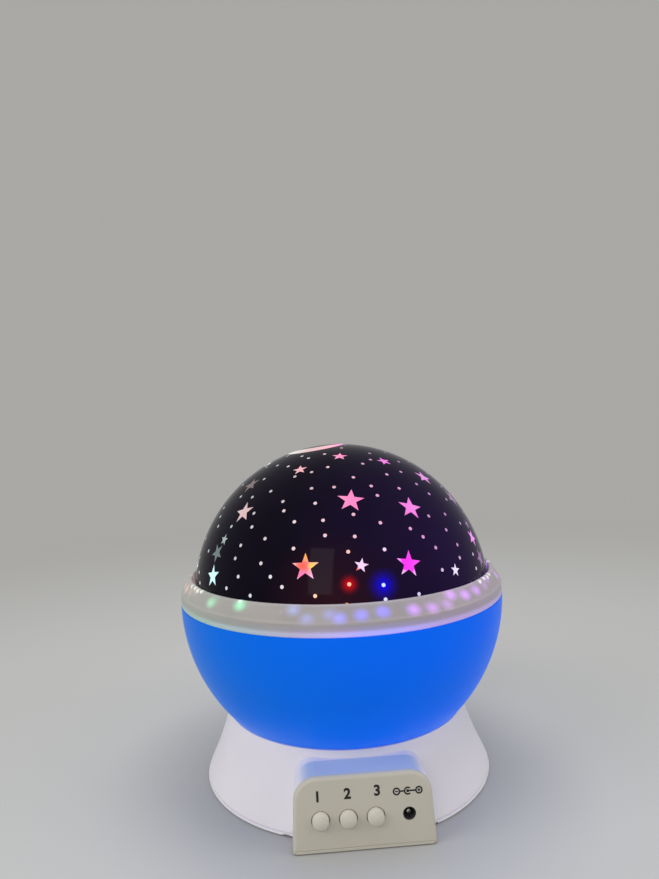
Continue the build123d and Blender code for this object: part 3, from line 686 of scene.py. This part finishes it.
ball_width = 2 * ball_radius
edge_round = 0.35 * mm
glow_waist = 0.45
rim = bowl_high.z
floor_top = bowl_bottom + bowl_wall
inner_radius = ball_radius - bowl_wall
outside = arc(ball_radius, bowl_bottom + edge_round, rim - edge_round, outside_steps)
inside = arc(inner_radius, floor_top, rim, inside_steps)
outline = [
    (hub_hole, bowl_bottom),
    (skirt_inner, bowl_bottom),
    (skirt_inner, bowl_low.z),
    (skirt_outer, bowl_low.z),
    (skirt_outer, bowl_bottom),
    (outside[0][0] - edge_round, bowl_bottom),
    *outside,
    (outside[-1][0] - edge_round, rim),
    *reversed(inside),
    (hub_hole, floor_top),
]


def bowl_paint(place):
    """Painted glow of the lamps inside: blue, brightest on the side of the pod and greener toward one edge.
    """
    height = ((place.axis("Z") - bowl_bottom) / (rim - bowl_bottom)).clamped()
    side = (place.axis("X") / ball_width + 0.5).clamped()
    front = ((0 - place.axis("Y")) / ball_radius).clamped()
    cloud = place.noise(30 * mm, 2.0)
    edge = side.blend((0.0, 0.085, 0.34), (0.0, 0.072, 0.46))
    green = height.ramp(
        (0.0, (0.0, 0.095, 0.62)),
        (glow_waist, (0.0, 0.078, 0.44)),
        (1.0, (0.0, 0.082, 0.54)),
    )
    blue = height.ramp(
        (0.0, (0.0, 0.086, 0.90)),
        (glow_waist, (0.0, 0.066, 0.70)),
        (1.0, (0.0, 0.068, 0.78)),
    )
    glow = side.blend(green, blue)
    return {
        "Base Color": cloud.blend((0.0, 0.075, 0.28), (0.0, 0.060, 0.23)),
        "Emission Color": (front * (0.80 + 0.20 * cloud)).blend(edge, glow),
        "Roughness": 0.30 + 0.10 * place.noise(4 * mm, 3.0),
        "Normal": place.noise(9 * mm, 1.0).bump(0.03 * mm, 0.3),
    }


bowl_blue = finish("bowl_styrene", bowl_paint, {"Emission Strength": 1.0, "Specular IOR Level": 0.08})
piece("bowl", lathe(outline), "ball", "blue_translucent", bowl_blue, "bowl_shell")


# ---- collar --------------------------------------------------------------------------------
# Frosted clear ring that plugs into the bowl and carries the dome on its ledge. The lowest pin holes of the
# dome show through it as soft coloured spots, painted in as light, with painted glints on its top edge and
# a painted glow at its lower lip.

collar_low, collar_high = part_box("collar_ring")
dome_low, dome_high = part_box("star_mask")
skin_radius = dome_high.z - ball_z
seating = 0.05 * mm
dome_clearance = 0.3 * mm
seat = dome_low.z - seating
ledge = 2.2 * mm
wall = skin_radius + dome_clearance
spigot_drop = 4.1 * mm
spigot = sqrt(inner_radius**2 - spigot_drop**2) - seating
spigot_wall = 2.0 * mm
spigot_step = 0.6 * mm
foot = rim + seating
top_radius = 61.9 * mm
top_chamfer = 0.35 * mm
band = foot + 4.6 * mm
lip = 0.4 * mm
outline = [
    (spigot, foot),
    (collar_high.x - lip, foot),
    (collar_high.x, foot + lip),
    (collar_high.x - 0.25 * mm, band - 0.35 * mm),
    (collar_high.x - 0.50 * mm, band + 0.05 * mm),
    (collar_high.x - 0.80 * mm, band + 0.40 * mm),
    (collar_high.x - 1.00 * mm, band + 0.95 * mm),
    (top_radius + 0.05 * mm, collar_high.z - 0.7 * mm),
    (top_radius - 0.15 * mm, collar_high.z - 0.25 * mm),
    (top_radius - 0.6 * mm, collar_high.z),
    (wall + top_chamfer, collar_high.z),
    (wall, collar_high.z - top_chamfer),
    (wall, seat),
    (wall - ledge, seat),
    (spigot - spigot_wall, foot - spigot_step),
    (spigot - spigot_wall, collar_low.z),
    (spigot, collar_low.z),
]

# Soft spots of painted light and small painted glints on the top edge: azimuth from the pod, height in
# millimetres and strength.
spots = (
    (-68.4, 77.7, 0.4),
    (-63.9, 79.0, 0.4),
    (-51.0, 77.4, 0.9),
    (-37.8, 78.3, 1.0),
    (-18.9, 78.3, 0.7),
    (-14.6, 75.8, 0.6),
    (-7.7, 77.0, 0.5),
    (-5.0, 75.9, 1.0),
    (1.4, 76.5, 1.0),
    (8.0, 76.9, 1.0),
    (17.6, 76.4, 1.0),
    (24.0, 76.0, 0.8),
    (29.7, 76.1, 0.6),
    (32.4, 78.4, 0.9),
    (38.7, 77.3, 1.0),
    (45.1, 77.4, 0.9),
)
glints = (
    (-70.0, 79.3, 1.0),
    (-66.0, 79.5, 0.8),
    (-62.5, 79.2, 1.0),
    (-59.5, 79.5, 0.9),
    (-38.0, 79.6, 0.6),
)
spot_reach = 2.3 * mm
glint_reach = 0.9 * mm
spot_stretch = 1.55
spot_sectors = 3
sector_length = 2 * pi * top_radius / spot_sectors
spot_start = 0.1
spot_fade = 1.3
spot_gain = 1.15
glint_white = (0.85, 0.95, 0.88)
lip_top = foot + 1.3 * mm
lip_blend = 1.1 * mm

# Colours round the ring, from the rear by the left to the pod at a half, and on by the right.
lamp_ring = (
    (0.0, (0.45, 0.42, 0.35)),
    (0.14, (0.60, 0.20, 0.15)),
    (0.32, (0.45, 0.30, 0.26)),
    (0.35, (0.10, 0.50, 0.25)),
    (0.41, (0.06, 0.62, 0.25)),
    (0.44, (0.12, 0.20, 0.50)),
    (0.49, (0.08, 0.08, 0.72)),
    (0.53, (0.05, 0.03, 0.85)),
    (0.55, (0.42, 0.12, 0.75)),
    (0.68, (0.42, 0.10, 0.72)),
    (0.88, (0.20, 0.25, 0.60)),
    (1.0, (0.45, 0.42, 0.35)),
)
# Painted glow of the lower lip, round the ring the same way.
lip_glow_ring = (
    (0.0, (0.05, 0.06, 0.10)),
    (0.34, (0.02, 0.12, 0.04)),
    (0.41, (0.06, 0.12, 0.11)),
    (0.45, (0.13, 0.10, 0.17)),
    (0.49, (0.13, 0.12, 0.40)),
    (0.53, (0.13, 0.11, 0.45)),
    (0.58, (0.14, 0.07, 0.24)),
    (0.70, (0.08, 0.05, 0.14)),
    (1.0, (0.05, 0.06, 0.10)),
)


def around(place):
    """Turn about the ball's axis, from 0 to 1, a half toward the pod and more toward +X."""
    return place.math("ARCTAN2", place.axis("X"), 0 - place.axis("Y")) / (2 * pi) + 0.5


def spotted(unrolled, places, reach):
    """One in the middle of each place on the unrolled ring, falling to nothing at a reach."""
    found = None
    for azimuth, height, strength in places:
        across = ((azimuth / 360 + 0.5) * spot_sectors + spot_start) % 1
        middle = (across * sector_length / spot_stretch, height * mm, 0)
        away = unrolled.vector("DISTANCE", unrolled, middle, output="Value") / reach
        soft = ((1 - away).clamped() ** spot_fade) * (spot_gain * strength)
        found = soft if found is None else found.math("MAXIMUM", found, soft)
    return found.clamped()


def collar_paint(place):
    """Warm grey frosted plastic with painted light: blurred spots in the lamps' colours, painted glints on
    the top edge and a lavender lower lip with a painted glow.
    """
    turn = around(place)
    fold = turn * spot_sectors + spot_start
    fold = fold.math("FRACT", fold)
    unrolled = {"X": fold * (sector_length / spot_stretch), "Y": place.axis("Z")}
    unrolled = place.node("ShaderNodeCombineXYZ", {}, unrolled)
    spot = spotted(unrolled, spots, spot_reach)
    glint = spotted(unrolled, glints, glint_reach)
    cloud = place.noise(10 * mm, 3.0)
    near_lip = 1 - ((place.axis("Z") - lip_top) / lip_blend).clamped()
    body = cloud.blend((0.62, 0.575, 0.53), (0.54, 0.50, 0.47))
    lip_glow = near_lip.blend((0.0, 0.0, 0.0), turn.ramp(*lip_glow_ring))
    spot_glow = spot.blend(lip_glow, turn.ramp(*lamp_ring))
    return {
        # The lavender near the lip is painted light from the bowl.
        "Base Color": near_lip.blend(body, (0.66, 0.64, 0.74)),
        "Emission Color": glint.blend(spot_glow, glint_white),
        "Roughness": 0.30 + 0.12 * place.noise(2 * mm, 3.0),
        "Normal": place.noise(1.2 * mm, 2.0).bump(0.03 * mm, 0.35),
    }


frosted = finish(
    "frosted_styrene",
    collar_paint,
    {
        "Emission Strength": 1.0,
        "Transmission Weight": 0.45,
        "IOR": 1.35,
        "Coat Weight": 0.2,
        "Coat Roughness": 0.2,
    },
)
piece("collar", lathe(outline), "ball", "collar_clear", frosted, "collar_ring", crease=50)


# ---- black skin of the dome ------------------------------------------------------------------
# A glossy black skin over the clear dome, with stars, pin holes and a crescent left open in it.
# One panel of fourteen stars is repeated three times round; the pin holes wind up between them.

skin = 0.45 * mm

# Stars of a panel: azimuth from the front, elevation, tip radius in millimetres and tilt.
star_panel = [
    (2, 43, 5.0, 10),
    (29, 38, 4.8, 20),
    (-16, 20, 4.8, -2),
    (20, 19, 4.7, 12),
    (-51, 38, 4.6, -16),
    (57, 50, 4.2, -34),
    (-57, 14, 4.2, -11),
    (62, 22, 3.8, 36),
    (-30, 59, 3.0, -20),
    (0, 68, 3.2, 8),
    (37, 62, 3.1, 6),
    (3, 20, 2.5, 14),
    (40, 14, 2.4, 14),
    (-56, 27, 2.3, 0),
]
panels = 3
star_waist = 0.40
dot_radius = 0.66 * mm
dot_sides = 12
dot_count = 300
dot_clearance = 0.9 * mm
dot_low = 5.2
dot_shake_up = 2.2
dot_shake_round = 3.0
golden_angle = 180 * (3 - sqrt(5))
moon_radius = 12.0 * mm
moon_bite = 10.4 * mm
moon_shift = 5.2 * mm
moon_steps = 22
moon_place = (-82, 82)
moon_turn = 16


def direction(azimuth, elevation):
    """Unit vector from the ball's centre, azimuth counted from the front toward +X."""
    a, e = radians(azimuth), radians(elevation)
    return Vector((sin(a) * cos(e), -cos(a) * cos(e), sin(e)))


def skin_frame(azimuth, elevation, tilt=0.0, east=None):
    """Frame that touches the skin at a place, its Y toward the top."""
    out = direction(azimuth, elevation)
    east = east or Vector((cos(radians(azimuth)), sin(radians(azimuth)), 0))
    east = (east - out * east.dot(out)).normalized()
    axes = Matrix((east, out.cross(east), out)).transposed()
    place = Matrix.Translation(out * skin_radius) @ axes.to_4x4()
    return place @ Matrix.Rotation(radians(-tilt), 4, "Z")


def star_shape(bm, tip):
    """Five-pointed star in XY."""
    corners = bmesh.ops.create_circle(bm, cap_ends=True, segments=10, radius=tip)["verts"]
    for corner in corners[1::2]:
        corner.co *= star_waist


def dot_shape(bm, radius):
    """Disc in XY."""
    bmesh.ops.create_circle(bm, cap_ends=True, segments=dot_sides, radius=radius)


def moon_shape(bm, radius):
    """Crescent in XY: a disc with another bitten out of it."""
    gap = asin((radius**2 + moon_shift**2 - moon_bite**2) / (2 * radius * moon_shift))
    bite_start = asin((radius * sin(gap) - moon_shift) / moon_bite)
    outer = [pi - gap + (pi + 2 * gap) * i / moon_steps for i in range(moon_steps + 1)]
    inner = [bite_start - (pi + 2 * bite_start) * i / moon_steps for i in range(1, moon_steps)]
    verts = [bm.verts.new((radius * cos(t), radius * sin(t), 0)) for t in outer]
    verts += [bm.verts.new((moon_bite * cos(t), moon_shift + moon_bite * sin(t), 0)) for t in inner]
    bm.faces.new(verts)


def add_window(bm, draw, radius, place, low, high, share=1.0):
    """Closed plug through the skin from a flat shape, between two radii about the ball's centre."""
    part = bmesh.new()
    draw(part, radius)
    bmesh.ops.scale(part, vec=(share, share, 1), verts=part.verts)
    bmesh.ops.recalc_face_normals(part, faces=part.faces)
    bmesh.ops.triangulate(part, faces=part.faces)
    bmesh.ops.transform(part, matrix=place, verts=part.verts)
    sheet = bmesh.ops.extrude_face_region(part, geom=part.faces[:])["geom"]
    top = {v for v in sheet if isinstance(v, bmesh.types.BMVert)}
    for vert in part.verts:
        vert.co = vert.co.normalized() * (high if vert in top else low)
    bmesh.ops.translate(part, vec=(0, 0, ball_z), verts=part.verts)
    bmesh.ops.recalc_face_normals(part, faces=part.faces)
    mesh = bpy.data.meshes.new("plug")
    part.to_mesh(mesh)
    part.free()
    bm.from_mesh(mesh)
    bpy.data.meshes.remove(mesh)


star_places = [
    (azimuth + 360 / panels * turn, elevation, tip * mm, tilt)
    for turn in range(panels)
    for azimuth, elevation, tip, tilt in star_panel
]
taken = [(direction(azimuth, elevation), tip) for azimuth, elevation, tip, _ in star_places]
taken.append((direction(*moon_place), moon_radius))
dot_places = []
for i in range(dot_count):
    height = 1 - (i + 0.5) / dot_count
    elevation = degrees(asin(height)) + dot_shake_up * sin(12.9 * i)
    azimuth = golden_angle * i + dot_shake_round * sin(7.7 * i) / cos(radians(elevation))
    here = direction(azimuth, elevation)
    clear = all((here - way).length * skin_radius > size + dot_clearance for way, size in taken)
    if clear and elevation > dot_low:
        dot_places.append((azimuth, elevation))

openings = [
    (star_shape, tip, skin_frame(azimuth, elevation, tilt))
    for azimuth, elevation, tip, tilt in star_places
]
openings += [(dot_shape, dot_radius, skin_frame(*place)) for place in dot_places]
openings.append((moon_shape, moon_radius, skin_frame(*moon_place, moon_turn, Vector((1, 0, 0)))))
window_sink = 0.015 * mm
window_share = 0.995
windows = bmesh.new()
pins = bmesh.new()
cutters = bmesh.new()
window_low = skin_radius - skin
window_top = skin_radius - window_sink
for draw, radius, place in openings:
    filled = pins if draw is dot_shape else windows
    add_window(filled, draw, radius, place, window_low, window_top, window_share)
    add_window(cutters, draw, radius, place, skin_radius - 2 * skin, skin_radius + skin)


dome_steps = 72
near_pole = 0.999999


def shell(outer, inner):
    """Hemispherical wall standing on the collar's ledge."""
    outside, inside = (
        arc(radius, dome_low.z, ball_z + near_pole * radius, dome_steps)[:-1] + [(0, ball_z + radius)]
        for radius in (outer, inner)
    )
    return lathe(outside + inside[::-1])


def nearest_dot(azimuth, elevation):
    """Place of the pin hole closest to a place."""
    return min(dot_places, key=lambda dot: (direction(*dot) - direction(azimuth, elevation)).length)


# Painted halos of the two nearest lamps, and painted violet and warm glows on the black skin.
blue_dot = nearest_dot(9.8, 13.4)
red_dot = nearest_dot(-1.5, 14.4)
blue_halo = 7.0 * mm
blue_fade = 2.7
red_halo = 4.2 * mm
red_fade = 2.6
violet_glow_place = (42, 22)
violet_glow_reach = 60 * mm
warm_glow_place = (-7, 9)
warm_glow_reach = 24 * mm


def near(place, azimuth, elevation, reach):
    """One at a place of the skin, falling to nothing at a distance from it."""
    middle = direction(azimuth, elevation) * skin_radius + Vector((0, 0, ball_z))
    return (1 - place.vector("DISTANCE", place, tuple(middle), output="Value") / reach).clamped()


def black_paint(place):
    """Gloss black with painted light: a violet and a warm glow, and painted halos where the two nearest
    lamps just show through.
    """
    haze = place.noise(12 * mm, 4.0)
    violet = near(place, *violet_glow_place, violet_glow_reach).blend((0.001, 0.0006, 0.003), (0.010, 0.003, 0.032))
    warm = near(place, *warm_glow_place, warm_glow_reach).blend(violet, (0.020, 0.003, 0.006))
    blue = near(place, *blue_dot, blue_halo) ** blue_fade
    red = near(place, *red_dot, red_halo) ** red_fade
    glow = blue.blend(warm, (0.0, 0.0, 1.0))
    return {
        "Base Color": haze.blend((0.002, 0.0015, 0.003), (0.005, 0.003, 0.008)),
        "Emission Color": red.blend(glow, (0.95, 0.0, 0.0)),
        "Roughness": 0.04 + 0.05 * haze,
    }


gloss_black = finish("dome_black", black_paint, {"Emission Strength": 1.0, "Specular IOR Level": 0.06})
skin_shell = shell(skin_radius, skin_radius - skin)
skin_piece = piece("dome_skin", skin_shell, "dome", "dome_black", gloss_black, "star_mask")
cutter_mesh = bpy.data.meshes.new("cutter")
cutters.to_mesh(cutter_mesh)
cutters.free()
cutter = bpy.data.objects.new("cutter", cutter_mesh)
bpy.context.collection.objects.link(cutter)
pierce = skin_piece.modifiers.new("pierce", "BOOLEAN")
pierce.object = cutter
pierce.operation = "DIFFERENCE"
pierce.solver = "EXACT"
pierced = evaluated(skin_piece)
skin_piece.modifiers.clear()
skin_piece.data = pierced
bpy.data.objects.remove(cutter)
hole_crease = 30
pierced.shade_smooth()
pierced.set_sharp_from_angle(angle=radians(hole_crease))


# ---- lit windows of the dome -----------------------------------------------------------------
# The dome's clear plastic stands flush in every opening of the skin and carries the light of the
# four lamps. What each opening shows depends on its way to the nearest lamp.

window_dim = (0.12, 0.12, 0.12)
flare_fade = 0.5


def dimmed(colour, odd):
    """Sockets of a lit window: its colour and a darker one for when the lamps are off."""
    dim = colour.vector("MULTIPLY", colour, window_dim)
    return {"Base Color": dim, "Emission Color": colour, "Roughness": 0.12 + 0.05 * odd}


def flared(place, colour, flares):
    """Colour with brighter places in it."""
    for azimuth, elevation, reach, flare in flares:
        colour = (near(place, azimuth, elevation, reach * mm) ** flare_fade).blend(colour, flare)
    return colour


# Colours round the dome, as round the collar, for the high stars and for the low ones.
high_ring = (
    (0.0, (0.55, 0.62, 0.95)),
    (0.25, (0.62, 0.70, 0.60)),
    (0.36, (0.62, 0.42, 0.41)),
    (0.44, (0.85, 0.38, 0.44)),
    (0.51, (0.98, 0.22, 0.52)),
    (0.58, (0.84, 0.15, 0.70)),
    (0.68, (0.60, 0.25, 0.64)),
    (0.82, (0.60, 0.55, 0.90)),
    (1.0, (0.55, 0.62, 0.95)),
)
low_ring = (
    (0.0, (0.30, 0.85, 0.45)),
    (0.22, (0.95, 0.75, 0.40)),
    (0.33, (0.60, 0.95, 0.97)),
    (0.42, (0.50, 0.88, 0.88)),
    (0.45, (0.98, 0.20, 0.26)),
    (0.49, (0.94, 0.62, 0.94)),
    (0.53, (0.94, 0.62, 0.94)),
    (0.545, (0.97, 0.004, 0.86)),
    (0.575, (0.97, 0.004, 0.86)),
    (0.61, (0.80, 0.72, 0.94)),
    (0.64, (0.80, 0.72, 0.94)),
    (0.665, (0.80, 0.18, 0.80)),
    (0.80, (0.35, 0.40, 0.98)),
    (1.0, (0.30, 0.85, 0.45)),
)
low_share = 0.36
change_share = 0.22
pale_light = (0.90, 0.80, 0.92)
pale_share = 0.18

# Places where a star is brighter or of another colour: azimuth, elevation, reach and colour.
star_flares = (
    (-16.8, 20.4, 2.6, (1.0, 0.12, 0.06)),
    (-17.0, 17.4, 2.0, (1.0, 0.20, 0.48)),
    (-16.0, 23.8, 2.3, (1.0, 0.42, 0.06)),
    (-13.6, 20.5, 1.7, (1.0, 0.60, 0.03)),
    (-11.6, 21.4, 1.2, (1.0, 0.50, 0.30)),
    (-20.6, 21.4, 1.5, (1.0, 0.46, 0.50)),
    (-19.2, 15.8, 1.5, (0.70, 0.84, 0.95)),
    (-13.2, 16.0, 2.2, (0.97, 0.52, 0.90)),
    (17.0, 14.8, 2.9, (0.95, 0.84, 0.98)),
    (23.2, 15.0, 2.7, (0.95, 0.74, 0.98)),
    (15.6, 20.2, 1.8, (0.96, 0.50, 0.92)),
    (1.2, 18.6, 1.4, (0.90, 0.08, 0.10)),
)

# Stars that little light reaches, written the same way.
faint_stars = (
    (-56, 27, 2.8, (0.34, 0.42, 0.40)),
    (-58, 22, 4.1, (0.13, 0.17, 0.17)),
    (-63, 50, 4.8, (0.16, 0.12, 0.12)),
    (69, 38, 5.2, (0.24, 0.11, 0.28)),
    (64, 27, 3.0, (0.24, 0.10, 0.27)),
    (63, 14, 5.0, (0.22, 0.09, 0.28)),
)
faint_edge = 8


def window_paint(place):
    """Colour of the light behind each star and the crescent."""
    turn = around(place)
    height = (place.axis("Z") - ball_z) / skin_radius
    higher = ((height - low_share) / change_share).clamped()
    wash = higher.blend(turn.ramp(*low_ring), turn.ramp(*high_ring))
    odd = place.noise(7 * mm, 1.0)
    colour = flared(place, (odd ** 2 * pale_share).blend(wash, pale_light), star_flares)
    for azimuth, elevation, reach, shade in faint_stars:
        inside = (near(place, azimuth, elevation, reach * mm) * faint_edge).clamped()
        colour = inside.blend(colour, shade)
    return dimmed(colour, odd)


dot_ring = (
    (0.0, (0.60, 0.70, 0.80)),
    (0.25, (0.40, 0.50, 0.44)),
    (0.34, (0.47, 0.55, 0.55)),
    (0.44, (0.80, 0.64, 0.66)),
    (0.50, (0.88, 0.52, 0.62)),
    (0.56, (0.76, 0.34, 0.64)),
    (0.63, (0.50, 0.24, 0.58)),
    (0.72, (0.36, 0.24, 0.52)),
    (0.85, (0.50, 0.45, 0.80)),
    (1.0, (0.60, 0.70, 0.80)),
)
dot_flare_reach = 2.6
dot_flares = tuple(
    (*nearest_dot(azimuth, elevation), dot_flare_reach, flare)
    for azimuth, elevation, flare in (
        (-1.5, 14.4, (1.0, 0.55, 0.35)),
        (9.8, 13.4, (0.62, 0.80, 1.0)),
        (-2.5, 8.2, (1.0, 0.35, 0.06)),
        (-12.5, 11.1, (1.0, 0.62, 0.40)),
        (-1.1, 24.6, (0.95, 0.52, 0.45)),
        (10.0, 8.9, (0.70, 0.75, 1.0)),
        (12.0, 24.4, (0.85, 0.62, 0.92)),
        (-23.8, 13.7, (0.72, 0.70, 0.72)),
        (-28.4, 16.6, (0.74, 0.71, 0.73)),
        (21.9, 9.1, (0.60, 0.55, 0.80)),
    )
)
dot_grid = 5.3 * mm
low_dots = 0.34
low_edge = 6
faint_dots = 0.45
faint_rise = 0.8
faint_floor = 0.2


def dot_paint(place):
    """Whitish light behind the pin holes, fainter toward the top and coloured by a near lamp."""
    height = (place.axis("Z") - ball_z) / skin_radius
    grid = place.vector("SNAP", place, (dot_grid, dot_grid, dot_grid))
    odd = grid.node("ShaderNodeTexWhiteNoise", {"noise_dimensions": "3D"}, {"Vector": grid}, "Value")
    low = ((low_dots - height) * low_edge).clamped()
    wash = low.blend(around(place).ramp(*dot_ring), (0.72, 0.70, 0.82))
    faint = ((height - faint_dots) * faint_rise).clamped() * odd + faint_floor * odd
    colour = faint.clamped().blend(wash, (0.24, 0.19, 0.23))
    return dimmed(flared(place, colour, dot_flares), odd)


lit_constants = {"Emission Strength": 1.0, "Specular IOR Level": 0.3}
lit_windows = finish("lit_windows", window_paint, lit_constants)
piece("dome_windows", windows, "dome", "dome_clear", lit_windows)
lit_dots = finish("lit_dots", dot_paint, lit_constants)
piece("dome_dots", pins, "dome", "dome_clear", lit_dots)


# ---- clear dome ------------------------------------------------------------------------------
# The hemisphere itself, moulded in clear polystyrene, lies inside the skin and stands on the
# collar's ledge.

dome_wall = 1.6 * mm
skin_clearance = 0.05 * mm


def clear_paint(place):
    """Clear plastic, faintly violet, with the odd smear."""
    return {
        "Base Color": place.noise(20 * mm).blend((0.90, 0.88, 0.94), (0.84, 0.82, 0.88)),
        "Roughness": 0.08 + 0.05 * place.noise(5 * mm),
    }


clear_styrene = finish("clear_styrene", clear_paint, {"Transmission Weight": 0.9, "IOR": 1.5})
under = skin_radius - skin - skin_clearance
piece("dome_lens", shell(under, under - dome_wall), "dome", "dome_clear", clear_styrene, "dome_shell")
